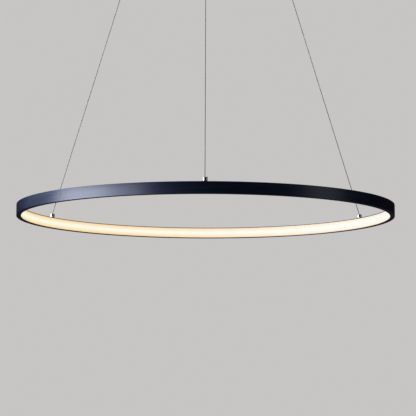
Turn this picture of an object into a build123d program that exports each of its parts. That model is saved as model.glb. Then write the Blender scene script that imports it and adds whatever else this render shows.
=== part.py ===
"""Ring pendant light: a slim LED hoop on three steel wires below a round ceiling canopy.

Millimetres, +Z up. The origin is the middle of the ceiling plate's top face, on the ceiling.
The hoop hangs below it, with one wire at the front (-Y) and two at the back.
"""
from build123d import *
from math import pi, sqrt
import os

# Clearances shared by the fits
running_clearance = 0.06     # round sliding fit, on the radius
thread_clearance = 0.05      # screw in its own thread, on the radius
hole_clearance = 0.2         # screw or bush through a plain hole, on the radius
wire_clearance = 0.4         # wire through a bore, on the radius
seat_gap = 0.3               # between two pieces that move apart
overcut = 1.0                # how far a cutting tool runs past the piece

# Hexagon sockets in the screw heads
socket_width = 0.34          # across the flats, as a share of the head's width
socket_depth = 0.5           # as a share of the head's height

# Hoop: a rolled channel, open towards the middle
hoop_radius = 400.0
hoop_height = 24.0
hoop_depth = 10.0
hoop_web = 1.4
hoop_flange = 1.2
hoop_chamfer = 0.4
hoop_seam = 0.4
hoop_seam_angle = 90.0
rib_setback = 2.4            # inner edge of the flange to the rib that holds the diffuser
rib_width = 0.8
rib_height = 0.6

# Diffuser strip, clipped between the flanges
diffuser_thickness = 1.5
diffuser_recess = 0.4
diffuser_seam = 0.5
diffuser_seam_angle = -60.0
clip_clearance = 0.15
clip_leg = 0.9
clip_barb = 0.9

# Light strip on the inside of the web, its ends at the hoop's seam
bond_gap = 0.08              # web to the back of the tape
tape_thickness = 0.2
strip_thickness = 0.4
strip_width = 10.0
chip_count = 144
chip_length = 3.5
chip_width = 2.8
chip_thickness = 0.8
chips_per_resistor = 3
resistor_length = 2.0
resistor_width = 1.25
resistor_thickness = 0.5

# Splice bars behind the hoop's seam
splice_arc = 8.0
splice_depth = 4.0
splice_height = 3.0
splice_screw_radius = 1.25
splice_head_radius = 2.2
splice_screw_length = 3.4
splice_screw_angle = 2.4

# Wire holders on the hoop's top flange
barrel_radius = 5.0
barrel_height = 7.8
barrel_roof = 2.0
barrel_bevel = 0.6
mouth_radius = 2.0
mouth_depth = 1.0
stud_radius = 1.5
stud_engagement = 3.0        # stud inside the barrel
stud_end = 0.5               # stud below its nut
stud_bush_radius = 4.2
stud_bush_flange = 0.8
stud_bush_wall = 0.8
stud_washer_radius = 2.9
stud_washer_thickness = 0.6
stud_nut_flats = 5.0
stud_nut_height = 2.0
stud_pocket = 0.6            # room round the nut in the clip parts
tag_thickness = 0.4
tag_radius = 2.6
tag_tail_width = 2.4
tag_tail_length = 12.0
tag_tail_gap = 0.7           # tail to the web
tag_eye = 0.6
stop_radius = 1.45
stop_height = 2.4

# Suspension wires
wire_radius = 0.75
wire_drop = 777.0            # grip outlet down to the barrel's mouth
wire_stations = {"front": -90.0, "right": 30.0, "left": 150.0}
feed_stations = ("right", "left")

# Wire grips in the canopy
grip_inset = 25.0            # canopy's edge to the axis of a grip
grip_collar_radius = 8.0
grip_collar_height = 9.0
grip_collar_chamfer = 0.8
grip_thread_radius = 5.0
grip_shank = 16.0
grip_bush_radius = 9.0
grip_bush_flange = 1.5
grip_bush_wall = 1.0
grip_washer_thickness = 1.0
grip_nut_flats = 15.0
grip_nut_height = 3.0
guide_length = 3.0
cone_step = 0.25             # plunger to the narrow end of the cone
cone_height = 9.0
chamber_radius = 3.6
cap_flange = 1.5
cap_plug = 4.0
plunger_radius = 2.2
plunger_tip = 2.5            # what still stands out when the plunger is pressed
plunger_travel = 2.5
plunger_head = 5.5           # plunger above its guide
plunger_bevel = 0.5
jaw_clearance = 0.1          # jaws to the cone
jaw_slit = 0.5
jaw_root = 1.0               # unslit part of the jaws, above the guide
spring_wall = 0.6
tail_rise = 8.0              # spare wire above the grip's cap
sleeve_flats = 2.6
sleeve_length = 6.0

# Canopy
canopy_radius = 130.0
canopy_height = 46.0
cover_wall = 1.2
cover_corner = 8.0
ceiling_gap = 1.0
plate_thickness = 1.5
plate_rim_height = 14.0
plate_bend = 1.2
plate_clearance = 0.4
cable_hole_radius = 10.0
slot_spacing = 100.0
slot_length = 14.0
slot_width = 5.0
cover_screw_angles = (90.0, 210.0, 330.0)
cover_screw_radius = 2.0
cover_screw_level = 8.0
cover_screw_length = 7.0
cover_head_radius = 4.0
cover_head_height = 2.6

# Driver for the light strip
driver_length = 140.0
driver_width = 42.0
driver_height = 24.0
driver_wall = 1.6
driver_corner = 3.0
driver_offset = 45.0         # behind the canopy's middle
ear_length = 10.0
driver_screw_radius = 2.0
driver_head_radius = 3.6
driver_head_height = 2.2
screw_setback = 0.3          # screw ends stay this far below the ceiling
lead_slot_width = 10.0
lead_slot_height = 4.0
board_margin = 1.0
board_thickness = 1.6
board_post_height = 3.0
board_post_radius = 2.0
board_post_inset = 6.0
transformer_size = (24.0, 20.0, 12.0)
inductor_radius = 6.0
inductor_height = 9.0
capacitor_radius = 5.0
capacitor_height = 13.0
capacitor_spacing = 14.0
component_spacing = 34.0

# Mains terminal block and earth screw
block_poles = 3
block_pitch = 10.0
block_width = 18.0
block_base = 4.0
block_height = 13.0
block_pole_gap = 1.6
block_position = (0.0, -48.0)
pole_hole_side = 3.6
pole_hole_level = 5.0
pole_screw_radius = 1.7
pole_screw_inset = 4.5
pole_screw_length = 3.0
pole_slot_width = 0.6
pole_slot_depth = 0.6
block_screw_radius = 1.2
block_head_radius = 2.2
block_head_height = 1.4
earth_position = (-52.0, -48.0)
earth_screw_radius = 2.0
earth_head_radius = 4.0
earth_head_height = 2.6
earth_tag_thickness = 0.8
earth_tag_radius = 4.6
earth_tag_length = 13.0

# Levels and radii that follow from the sizes
plate_radius = canopy_radius - cover_wall - plate_clearance
cover_floor = -canopy_height + cover_wall
collar_top = -canopy_height - grip_bush_flange
collar_bottom = collar_top - grip_collar_height
grip_top = collar_top + grip_shank
grip_circle = canopy_radius - grip_inset
wire_top = collar_bottom - plunger_tip - plunger_travel
wire_bottom = wire_top - wire_drop
barrel_top = wire_bottom + mouth_depth / 2
barrel_bottom = barrel_top - barrel_height
hoop_top = barrel_bottom - stud_bush_flange
hoop_level = hoop_top - hoop_height / 2
hoop_inner_radius = hoop_radius - hoop_depth
wire_circle = hoop_radius - hoop_depth / 2
flange_underside = hoop_height / 2 - hoop_flange
web_inside = hoop_radius - hoop_web
rib_inner = hoop_inner_radius + rib_setback
rib_outer = rib_inner + rib_width
tape_outside = web_inside - bond_gap
strip_outside = tape_outside - tape_thickness
strip_inside = strip_outside - strip_thickness
cone_bottom = collar_bottom + guide_length
cone_bottom_radius = plunger_radius + cone_step
cone_slope = (chamber_radius - cone_bottom_radius) / cone_height
plunger_bore = wire_radius + wire_clearance
plunger_top = cone_bottom + plunger_head
cap_underside = grip_top - cap_plug
tail_top = grip_top + cap_flange + tail_rise

UP = (Align.CENTER, Align.CENTER, Align.MIN)
DOWN = (Align.CENTER, Align.CENTER, Align.MAX)


def ring_of(points, arc=360.0, start=0.0):
    """Turn an outline of (radius, height) points about Z, from the start angle."""
    outline = make_face(Plane.XZ * Polyline(*points, close=True))
    return Rot(0, 0, start) * revolve(outline, Axis.Z, revolution_arc=arc)


def rod(radius, low, high):
    """Upright round bar between two levels."""
    return Pos(0, 0, low) * Cylinder(radius, high - low, align=UP)


def tube(outer, inner, low, high):
    """Upright round tube between two levels."""
    return rod(outer, low, high) - rod(inner, low - overcut, high + overcut)


def hexagon(flats, low, high):
    """Upright hexagonal bar between two levels, with two flats facing along X."""
    section = Rot(0, 0, 30) * RegularPolygon(flats / 2, 6, major_radius=False)
    return Pos(0, 0, low) * extrude(section, high - low)


def pan_screw(shank_radius, shank_length, head_radius, head_height):
    """Pan head screw along Z: head above the origin, shank below it."""
    head = Cylinder(head_radius, head_height, align=UP)
    head -= hexagon(2 * head_radius * socket_width, head_height * (1 - socket_depth), head_height + overcut)
    return head + Cylinder(shank_radius, shank_length, align=DOWN)


def station(angle, radius, level=0.0):
    """Place on a circle about the lamp's axis, with local X pointing outwards."""
    return Rot(0, 0, angle) * Pos(radius, 0, level)


def at_wires(radius, make):
    """One solid at each wire, made about its own axis."""
    return {name: station(angle, radius) * make for name, angle in wire_stations.items()}


nodes = {}


# Hoop, with its seam, stud holes and splice screw holes
def hoop_profile():
    """Channel section with a clip rib on the inside of each flange."""
    half = hoop_height / 2
    upper = [
        (hoop_radius, half - hoop_chamfer),
        (hoop_radius - hoop_chamfer, half),
        (hoop_inner_radius, half),
        (hoop_inner_radius, flange_underside),
        (rib_inner, flange_underside),
        (rib_inner, flange_underside - rib_height),
        (rib_outer, flange_underside - rib_height),
        (rib_outer, flange_underside),
        (web_inside, flange_underside),
    ]
    lower = [(radius, -height) for radius, height in reversed(upper)]
    return upper + lower


def seam_arc(gap, radius):
    """Angle of an open ring that leaves this gap between its ends."""
    return 360.0 - gap / (2 * pi * radius) * 360.0


def splice_places():
    """Axis of each splice screw, pointing out of the hoop."""
    radius = web_inside - splice_depth / 2
    for side in (-1, 1):
        for flip in (0, 180):
            place = station(hoop_seam_angle + side * splice_screw_angle, radius)
            yield place * Rot(flip, 0, 0) * Pos(0, 0, hoop_height / 2)


def splice_screw(extra=0.0):
    """Countersunk screw with its head at the origin and its point below, grown by a clearance."""
    head = Cone(splice_screw_radius + extra, splice_head_radius + extra, hoop_flange, align=DOWN)
    return head + Cylinder(splice_screw_radius + extra, splice_screw_length, align=DOWN)


bush_hole = stud_radius + thread_clearance + stud_bush_wall + thread_clearance
pocket_radius = stud_washer_radius + stud_pocket

hoop = ring_of(hoop_profile(), seam_arc(hoop_seam, hoop_radius), hoop_seam_angle)
stud_opening = rod(bush_hole, 0, hoop_height / 2 + overcut)
stud_pocket_room = rod(pocket_radius, flange_underside - rib_height - overcut, flange_underside)
for cut in at_wires(wire_circle, stud_opening + stud_pocket_room).values():
    hoop -= cut
for place in splice_places():
    hoop -= place * splice_screw(thread_clearance)
nodes["ring_hoop"] = Pos(0, 0, hoop_level) * hoop

# Splice bars in the corners of the channel, and their countersunk screws
bar_top = flange_underside
bar_outline = [
    (web_inside - splice_depth, bar_top - splice_height),
    (web_inside, bar_top - splice_height),
    (web_inside, bar_top),
    (web_inside - splice_depth, bar_top),
]
upper_bar = ring_of(bar_outline, splice_arc, hoop_seam_angle - splice_arc / 2)
lower_bar = ring_of([(r, -z) for r, z in bar_outline], splice_arc, hoop_seam_angle - splice_arc / 2)
for place in splice_places():
    upper_bar -= place * splice_screw(thread_clearance)
    lower_bar -= place * splice_screw(thread_clearance)
nodes["splice_bars"] = Pos(0, 0, hoop_level) * Compound([upper_bar, lower_bar])
socketed_screw = splice_screw() - hexagon(
    2 * splice_head_radius * socket_width, -hoop_flange * socket_depth, overcut)
nodes["splice_screws"] = Pos(0, 0, hoop_level) * Compound([p * socketed_screw for p in splice_places()])

# Light strip: tape on the web, printed strip, chips and resistors facing the middle
strip_arc = seam_arc(hoop_seam, hoop_radius)


def band(outer, thickness, width):
    """Upright band round the inside of the hoop, open at the hoop's seam."""
    inner = outer - thickness
    half = width / 2
    points = [(inner, -half), (outer, -half), (outer, half), (inner, half)]
    return Pos(0, 0, hoop_level) * ring_of(points, strip_arc, hoop_seam_angle)


def on_strip(length, width, thickness, count, offset):
    """Flat-backed components spaced round the strip, corners touching it."""
    back = sqrt(strip_inside ** 2 - (length / 2) ** 2)
    step = strip_arc / count
    body = Pos(back - thickness / 2, 0, hoop_level) * Box(thickness, length, width)
    return Compound([Rot(0, 0, hoop_seam_angle + (i + offset) * step) * body for i in range(count)])


nodes["strip_tape"] = band(tape_outside, tape_thickness, strip_width)
nodes["led_strip"] = band(strip_outside, strip_thickness, strip_width)
nodes["led_chips"] = on_strip(chip_length, chip_width, chip_thickness, chip_count, 0.5)
resistor_count = chip_count // chips_per_resistor
nodes["strip_resistors"] = on_strip(
    resistor_length, resistor_width, resistor_thickness, resistor_count, 1.0 / chips_per_resistor)


# Diffuser: opal strip with two barbed legs that clip behind the ribs
def diffuser_profile():
    """Face strip between the flanges, with a leg and a barb behind each rib."""
    face = hoop_inner_radius + diffuser_recess
    back = face + diffuser_thickness
    edge = flange_underside - clip_clearance
    leg_top = edge - rib_height
    leg_bottom = leg_top - clip_leg
    barb_start = rib_outer + clip_clearance
    barb_end = barb_start + clip_barb
    upper = [
        (back, leg_bottom),
        (barb_end, leg_bottom),
        (barb_end, edge),
        (barb_start, edge),
        (barb_start, leg_top),
        (back, leg_top),
        (back, edge),
        (face, edge),
    ]
    lower = [(radius, -height) for radius, height in reversed(upper)]
    return upper + lower


diffuser = ring_of(diffuser_profile(), seam_arc(diffuser_seam, hoop_inner_radius), diffuser_seam_angle)
clip_notch = rod(pocket_radius, 0, hoop_height / 2)
face_strip_guard = ring_of([
    (hoop_inner_radius, 0),
    (hoop_inner_radius + diffuser_recess + diffuser_thickness, 0),
    (hoop_inner_radius + diffuser_recess + diffuser_thickness, hoop_height),
    (hoop_inner_radius, hoop_height),
])
for cut in at_wires(wire_circle, clip_notch).values():
    diffuser -= cut - face_strip_guard
nodes["diffuser"] = Pos(0, 0, hoop_level) * diffuser

# Wire holders: barrel, stud, insulating bush, washer, nut, feed tag and the wire's crimped stop
barrel_bore = stud_radius + thread_clearance
barrel = rod(barrel_radius, barrel_bottom, barrel_top)
barrel = chamfer(barrel.edges().group_by(Axis.Z)[-1], barrel_bevel)
barrel -= rod(barrel_bore, barrel_bottom - overcut, barrel_top - barrel_roof)
barrel -= rod(wire_radius + wire_clearance, barrel_bottom, barrel_top)
barrel -= Pos(0, 0, barrel_top) * Cone(wire_radius + wire_clearance, mouth_radius, mouth_depth, align=DOWN)
for name, solid in at_wires(wire_circle, barrel).items():
    nodes[f"wire_barrel_{name}"] = solid

bush = rod(stud_bush_radius, hoop_top, barrel_bottom)
bush += rod(bush_hole - thread_clearance, hoop_top - hoop_flange, hoop_top)
bush -= rod(barrel_bore, hoop_top - hoop_flange - overcut, barrel_bottom + overcut)
nodes["stud_bushes"] = Compound(list(at_wires(wire_circle, bush).values()))

washer_top = hoop_top - hoop_flange
washer_bottom = washer_top - stud_washer_thickness
washer = tube(stud_washer_radius, barrel_bore, washer_bottom, washer_top)
nodes["stud_washers"] = Compound(list(at_wires(wire_circle, washer).values()))

tail_x = web_inside - wire_circle - tag_tail_gap - tag_tail_width / 2
tail_end = (Align.CENTER, Align.MIN, Align.MAX)
tag_plate = Cylinder(tag_radius, tag_thickness, align=DOWN)
tag_plate += Pos(tail_x, 0, 0) * Box(tag_tail_width, tag_tail_length, tag_thickness, align=tail_end)
tag_plate -= Cylinder(barrel_bore, 3 * tag_thickness)
tag_plate -= Pos(tail_x, tag_tail_length - 2 * tag_eye, 0) * Cylinder(tag_eye, 3 * tag_thickness)
feed_tag = Pos(0, 0, washer_bottom) * tag_plate
nodes["feed_tags"] = Compound([station(wire_stations[n], wire_circle) * feed_tag for n in feed_stations])

studs = []
stud_nuts = []
for name, angle in wire_stations.items():
    nut_top = washer_bottom - (tag_thickness if name in feed_stations else 0.0)
    nut_bottom = nut_top - stud_nut_height
    place = station(angle, wire_circle)
    studs.append(place * rod(stud_radius, nut_bottom - stud_end, barrel_bottom + stud_engagement))
    nut = hexagon(stud_nut_flats, nut_bottom, nut_top)
    nut -= rod(barrel_bore, nut_bottom - overcut, nut_top + overcut)
    stud_nuts.append(place * nut)
nodes["barrel_studs"] = Compound(studs)
nodes["stud_nuts"] = Compound(stud_nuts)

stop_top = barrel_top - barrel_roof
wire_stop = rod(stop_radius, stop_top - stop_height, stop_top)
wire_stop += rod(wire_radius, stop_top, wire_bottom - seat_gap)
nodes["wire_stops"] = Compound(list(at_wires(wire_circle, wire_stop).values()))

# Suspension wires, straight from the grips to the barrels, cut level at both ends
wire_lean = wire_circle - grip_circle
wire_reach = sqrt(wire_lean ** 2 + wire_drop ** 2)
overrun = 2 * wire_radius
slanted = Plane(origin=(grip_circle, 0, wire_top), x_dir=(0, 1, 0), z_dir=(wire_lean, 0, -wire_drop))
bare_wire = slanted * Pos(0, 0, -overrun) * Cylinder(wire_radius, wire_reach + 2 * overrun, align=UP)
level_slab = Pos(0, 0, wire_bottom) * Box(4 * hoop_radius, 4 * hoop_radius, wire_drop, align=UP)
straight_wire = bare_wire & level_slab
for name, angle in wire_stations.items():
    nodes[f"suspension_wire_{name}"] = Rot(0, 0, angle) * straight_wire
print(f"wire length {wire_reach:.1f} mm")

# Wire grips: body with a cone, cap, sprung plunger with slit jaws, and the wire's spare end
bush_bore = grip_thread_radius + thread_clearance
bush_outside = bush_bore + grip_bush_wall

body = rod(grip_collar_radius, collar_bottom, collar_top)
body = chamfer(body.edges().group_by(Axis.Z)[0], grip_collar_chamfer)
body += rod(grip_thread_radius, collar_top, grip_top)
body -= rod(plunger_radius + running_clearance, collar_bottom - overcut, cone_bottom + overcut)
body -= Pos(0, 0, cone_bottom) * Cone(cone_bottom_radius, chamber_radius, cone_height, align=UP)
body -= rod(chamber_radius, cone_bottom + cone_height, grip_top + overcut)

jaw_bottom = cone_bottom + jaw_clearance
jaw_height = plunger_top - jaw_bottom
jaw_bottom_radius = cone_bottom_radius - jaw_clearance
jaw_top_radius = jaw_bottom_radius + cone_slope * jaw_height
plunger = rod(plunger_radius, wire_top, jaw_bottom)
plunger = chamfer(plunger.edges().group_by(Axis.Z)[0], plunger_bevel)
plunger += Pos(0, 0, jaw_bottom) * Cone(jaw_bottom_radius, jaw_top_radius, jaw_height, align=UP)
plunger -= rod(plunger_bore, wire_top - overcut, plunger_top + overcut)
for turn in (0, 90):
    slit = Box(4 * chamber_radius, jaw_slit, jaw_height, align=UP)
    plunger -= Pos(0, 0, jaw_bottom + jaw_root) * Rot(0, 0, turn) * slit

spring_outer = plunger_radius
spring = tube(spring_outer, spring_outer - spring_wall, plunger_top, cap_underside)

cap = rod(grip_thread_radius, grip_top, grip_top + cap_flange)
cap += rod(chamber_radius - thread_clearance, cap_underside, grip_top)
cap -= rod(plunger_bore, cap_underside - overcut, grip_top + cap_flange + overcut)

tail = rod(wire_radius, wire_top, tail_top)
sleeve = hexagon(sleeve_flats, tail_top, tail_top + sleeve_length)

grip_bush = rod(grip_bush_radius, collar_top, -canopy_height) + rod(bush_outside, -canopy_height, cover_floor)
grip_bush -= rod(bush_bore, collar_top - overcut, cover_floor + overcut)
nut_seat = cover_floor + grip_washer_thickness
grip_washer = tube(grip_bush_radius, bush_bore, cover_floor, nut_seat)
grip_nut = hexagon(grip_nut_flats, nut_seat, nut_seat + grip_nut_height)
grip_nut -= rod(bush_bore, nut_seat - overcut, nut_seat + grip_nut_height + overcut)

single_pieces = {
    "grip_body": body,
    "grip_plunger": plunger,
    "grip_spring": spring,
    "wire_tail": tail,
}
for piece, solid in single_pieces.items():
    for name, placed in at_wires(grip_circle, solid).items():
        nodes[f"{piece}_{name}"] = placed
grouped_pieces = {
    "grip_caps": cap,
    "tail_sleeves": sleeve,
    "grip_bushes": grip_bush,
    "grip_washers": grip_washer,
    "grip_nuts": grip_nut,
}
for piece, solid in grouped_pieces.items():
    nodes[piece] = Compound(list(at_wires(grip_circle, solid).values()))

# Canopy cover: a drawn cup with holes for the grips and the side screws
cup = rod(canopy_radius, -canopy_height, -ceiling_gap)
cup = fillet(cup.edges().group_by(Axis.Z)[0], cover_corner)
hollow = rod(canopy_radius - cover_wall, cover_floor, 0)
hollow = fillet(hollow.edges().group_by(Axis.Z)[0], cover_corner - cover_wall)
cover = cup - hollow
grip_hole = rod(bush_outside + thread_clearance, -canopy_height - overcut, cover_floor + overcut)
for cut in at_wires(grip_circle, grip_hole).values():
    cover -= cut


def sideways(angle):
    """Side screw axis: local Z points outwards, the origin is on the cover's outside."""
    return station(angle, canopy_radius, -cover_screw_level) * Rot(0, 90, 0)


side_hole = Cylinder(cover_screw_radius + hole_clearance, 4 * cover_wall)
for angle in cover_screw_angles:
    cover -= sideways(angle) * side_hole
nodes["canopy_cover"] = cover
side_screw = pan_screw(cover_screw_radius, cover_screw_length, cover_head_radius, cover_head_height)
nodes["cover_screws"] = Compound([sideways(angle) * side_screw for angle in cover_screw_angles])

# Driver: base with two ears, case below it, and the board inside
driver_place = Pos(0, driver_offset, -plate_thickness)
case_top = -driver_wall
ear_x = driver_length / 2 + ear_length / 2
driver_base = Box(driver_length + 2 * ear_length, driver_width, driver_wall, align=DOWN)
driver_base = fillet(driver_base.edges().filter_by(Axis.Z), driver_corner)
ear_holes = [Pos(side * ear_x, 0, 0) for side in (-1, 1)]
for hole in ear_holes:
    driver_base -= hole * Cylinder(driver_screw_radius + hole_clearance, 4 * driver_wall)
nodes["driver_base"] = driver_place * driver_base

driver_case = Pos(0, 0, case_top) * Box(driver_length, driver_width, driver_height, align=DOWN)
driver_case = fillet(driver_case.edges().filter_by(Axis.Z), driver_corner)
room_length = driver_length - 2 * driver_wall
room_width = driver_width - 2 * driver_wall
driver_case -= Pos(0, 0, case_top) * Box(room_length, room_width, driver_height - driver_wall, align=DOWN)
case_floor = case_top - driver_height + driver_wall
post_x = room_length / 2 - board_post_inset
post_y = room_width / 2 - board_post_inset
for x in (-post_x, post_x):
    for y in (-post_y, post_y):
        driver_case += Pos(x, y, 0) * rod(board_post_radius, case_floor, case_floor + board_post_height)
lead_slot = Box(driver_length + 2 * driver_wall, lead_slot_width, lead_slot_height, align=DOWN)
driver_case -= Pos(0, 0, case_top) * lead_slot
nodes["driver_case"] = driver_place * driver_case

board_bottom = case_floor + board_post_height
board_top = board_bottom + board_thickness
board = Box(room_length - 2 * board_margin, room_width - 2 * board_margin, board_thickness, align=UP)
board = Pos(0, 0, board_bottom) * board
board += Pos(0, 0, board_top) * Box(*transformer_size, align=UP)
board += Pos(component_spacing, 0, board_top) * Cylinder(inductor_radius, inductor_height, align=UP)
for side in (-1, 1):
    can = Pos(-component_spacing, side * capacitor_spacing / 2, board_top)
    board += can * Cylinder(capacitor_radius, capacitor_height, align=UP)
nodes["driver_board"] = driver_place * board

ear_stack = plate_thickness + driver_wall - screw_setback
driver_screw = Rot(180, 0, 0) * pan_screw(
    driver_screw_radius, ear_stack, driver_head_radius, driver_head_height)
nodes["driver_screws"] = driver_place * Compound(
    [hole * Pos(0, 0, -driver_wall) * driver_screw for hole in ear_holes])

# Terminal block for the mains wires, with its pole screws and fixing screws
block_place = Pos(*block_position, -plate_thickness)
block_length = block_poles * block_pitch
pole_x = [(i - (block_poles - 1) / 2) * block_pitch for i in range(block_poles)]
gap_x = [(i - (block_poles - 2) / 2) * block_pitch for i in range(block_poles - 1)]
block = Box(block_length, block_width, block_base, align=DOWN)
screw_wells = []
for x in pole_x:
    block += Pos(x, 0, 0) * Box(block_pitch - block_pole_gap, block_width, block_height, align=DOWN)
    block -= Pos(x, 0, -pole_hole_level) * Box(pole_hole_side, 2 * block_width, pole_hole_side)
    for side in (-1, 1):
        well = Pos(x, side * (block_width / 2 - pole_screw_inset), 0)
        screw_wells.append(well)
        block -= well * rod(pole_screw_radius + thread_clearance, -block_height - overcut, -pole_hole_level)
for x in gap_x:
    block -= Pos(x, 0, 0) * Cylinder(block_screw_radius + thread_clearance, 4 * block_base)
    block -= Pos(x, 0, 0) * rod(block_head_radius + hole_clearance, -block_height - overcut, -block_base)
nodes["terminal_block"] = block_place * block
pole_screw_top = -pole_hole_level - pole_hole_side / 2
pole_screw = rod(pole_screw_radius, pole_screw_top - pole_screw_length, pole_screw_top)
pole_slot = Box(4 * pole_screw_radius, pole_slot_width, 2 * pole_slot_depth)
pole_screw -= Pos(0, 0, pole_screw_top - pole_screw_length) * pole_slot
nodes["terminal_screws"] = block_place * Compound([well * pole_screw for well in screw_wells])
block_stack = plate_thickness + block_base - screw_setback
block_screw = Rot(180, 0, 0) * pan_screw(
    block_screw_radius, block_stack, block_head_radius, block_head_height)
nodes["block_screws"] = block_place * Compound([Pos(x, 0, -block_base) * block_screw for x in gap_x])

# Earth tag and screw on the ceiling plate
earth_place = Pos(*earth_position, -plate_thickness)
earth_tag = Cylinder(earth_tag_radius, earth_tag_thickness, align=DOWN)
earth_tag += Pos(0, -earth_tag_length / 2, 0) * Box(
    earth_tag_radius, earth_tag_length, earth_tag_thickness, align=DOWN)
earth_tag -= Cylinder(earth_screw_radius + hole_clearance, 4 * earth_tag_thickness)
nodes["earth_tag"] = earth_place * earth_tag
earth_stack = plate_thickness + earth_tag_thickness - screw_setback
earth_screw = Rot(180, 0, 0) * pan_screw(
    earth_screw_radius, earth_stack, earth_head_radius, earth_head_height)
nodes["earth_screw"] = earth_place * Pos(0, 0, -earth_tag_thickness) * earth_screw

# Ceiling plate: a pressed steel pan whose rim carries the cover
plate = rod(plate_radius, -plate_rim_height, 0)
plate = chamfer(plate.edges().group_by(Axis.Z)[-1], plate_bend)
plate -= rod(plate_radius - plate_thickness, -plate_rim_height - overcut, -plate_thickness)
plate -= Cylinder(cable_hole_radius, 4 * plate_thickness)
slot = extrude(SlotOverall(slot_length, slot_width), 2 * plate_thickness, both=True)
for side in (-1, 1):
    plate -= Pos(side * slot_spacing / 2, 0, 0) * slot
rim_hole = Cylinder(cover_screw_radius + thread_clearance, 8 * plate_thickness)
for angle in cover_screw_angles:
    plate -= sideways(angle) * rim_hole
driver_hole = Cylinder(driver_screw_radius + thread_clearance, 4 * plate_thickness)
for hole in ear_holes:
    plate -= driver_place * hole * driver_hole
for x in gap_x:
    plate -= block_place * Pos(x, 0, 0) * Cylinder(block_screw_radius + thread_clearance, 4 * plate_thickness)
plate -= earth_place * Cylinder(earth_screw_radius + thread_clearance, 4 * plate_thickness)
nodes["ceiling_plate"] = plate

os.makedirs("parts", exist_ok=True)
for name, shape in nodes.items():
    export_step(shape, f"parts/{name}.step")
print(f"{len(nodes)} nodes, hoop level {hoop_level:.2f} mm, wire top {wire_top:.2f} mm")
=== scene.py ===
"""Looks of a ring pendant light: a slim lit hoop on three steel wires below a round ceiling canopy.

Metres, +Z up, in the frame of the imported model: the ceiling is at z = 0, the front wire at -Y.
"""
import math

import bpy
from mathutils import Matrix, Vector


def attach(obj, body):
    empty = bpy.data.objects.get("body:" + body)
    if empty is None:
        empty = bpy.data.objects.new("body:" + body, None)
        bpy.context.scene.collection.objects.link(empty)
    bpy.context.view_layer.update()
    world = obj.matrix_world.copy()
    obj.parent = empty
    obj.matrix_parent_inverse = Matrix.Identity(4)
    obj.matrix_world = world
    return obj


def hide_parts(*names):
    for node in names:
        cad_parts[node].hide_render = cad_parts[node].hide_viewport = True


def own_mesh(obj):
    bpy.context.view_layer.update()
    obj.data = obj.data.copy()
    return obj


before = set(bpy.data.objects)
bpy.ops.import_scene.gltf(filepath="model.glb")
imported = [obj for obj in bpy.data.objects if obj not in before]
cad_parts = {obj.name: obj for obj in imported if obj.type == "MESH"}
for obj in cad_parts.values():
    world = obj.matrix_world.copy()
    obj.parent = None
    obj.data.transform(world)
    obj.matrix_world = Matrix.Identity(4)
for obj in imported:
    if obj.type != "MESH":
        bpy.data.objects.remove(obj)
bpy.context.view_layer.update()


# Ceiling plate: a shallow pan pressed from zinc-plated sheet steel. Two screws hold it to the
# ceiling through its slots, and its rim carries the cover.
def put(tree, kind, inputs=None, **settings):
    """Add a node, with its settings, and its inputs as constants or as links from other sockets."""
    made = tree.nodes.new(kind)
    for name, value in settings.items():
        setattr(made, name, value)
    for key, value in (inputs or {}).items():
        if isinstance(value, bpy.types.NodeSocket):
            tree.links.new(value, made.inputs[key])
        else:
            made.inputs[key].default_value = value
    return made


def finish(name, constants):
    """New material with these constants on its shader's own sockets."""
    material = bpy.data.materials.new(name)
    material.use_nodes = True
    shader = material.node_tree.nodes["Principled BSDF"]
    for socket, value in constants.items():
        shader.inputs[socket].default_value = value
    return material


def placed_grain(material, stretch, coordinates="Object"):
    """Vector that stretches a pattern over the piece."""
    tree = material.node_tree
    place = put(tree, "ShaderNodeTexCoord").outputs[coordinates]
    return put(tree, "ShaderNodeMapping", {"Vector": place, "Scale": stretch}).outputs[0]


def noise(material, stretch, detail=2.0, coordinates="Object"):
    """Soft random grain, with this many spots in a metre each way."""
    vector = placed_grain(material, stretch, coordinates)
    return put(material.node_tree, "ShaderNodeTexNoise",
               {"Vector": vector, "Scale": 1.0, "Detail": detail}).outputs[0]


def cells(material, stretch):
    """Patches with one random value each."""
    vector = placed_grain(material, stretch)
    patches = put(material.node_tree, "ShaderNodeTexVoronoi", {"Vector": vector, "Scale": 1.0})
    return patches.outputs["Color"]


def ramp(tree, amount, spread, colours):
    """Colour that runs from one to another along a pattern."""
    made = put(tree, "ShaderNodeValToRGB", {0: amount})
    for stop, place, colour in zip(made.color_ramp.elements, spread, colours):
        stop.position = place
        stop.color = (*colour, 1.0)
    return made.outputs[0]


def feed(material, socket, value):
    """Link a value to a socket of the material's shader."""
    tree = material.node_tree
    tree.links.new(value, tree.nodes["Principled BSDF"].inputs[socket])


def colour_by(material, amount, low, high, spread=(0.3, 0.7)):
    """Shader colour from low to high along a pattern."""
    feed(material, "Base Color", ramp(material.node_tree, amount, spread, (low, high)))


def rough_by(material, amount, low, high):
    """Shader roughness from low to high along a pattern."""
    span = put(material.node_tree, "ShaderNodeMapRange", {
        "Value": amount, "From Min": 0.25, "From Max": 0.75, "To Min": low, "To Max": high})
    feed(material, "Roughness", span.outputs[0])


def relief_by(material, amount, depth, strength=1.0):
    """Surface relief along a pattern, of this depth in metres."""
    bump = put(material.node_tree, "ShaderNodeBump", {
        "Height": amount, "Distance": depth, "Strength": strength})
    feed(material, "Normal", bump.outputs[0])


def dress(material, *names):
    """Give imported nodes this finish."""
    for name in names:
        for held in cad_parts[name].material_slots:
            held.material = material


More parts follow.
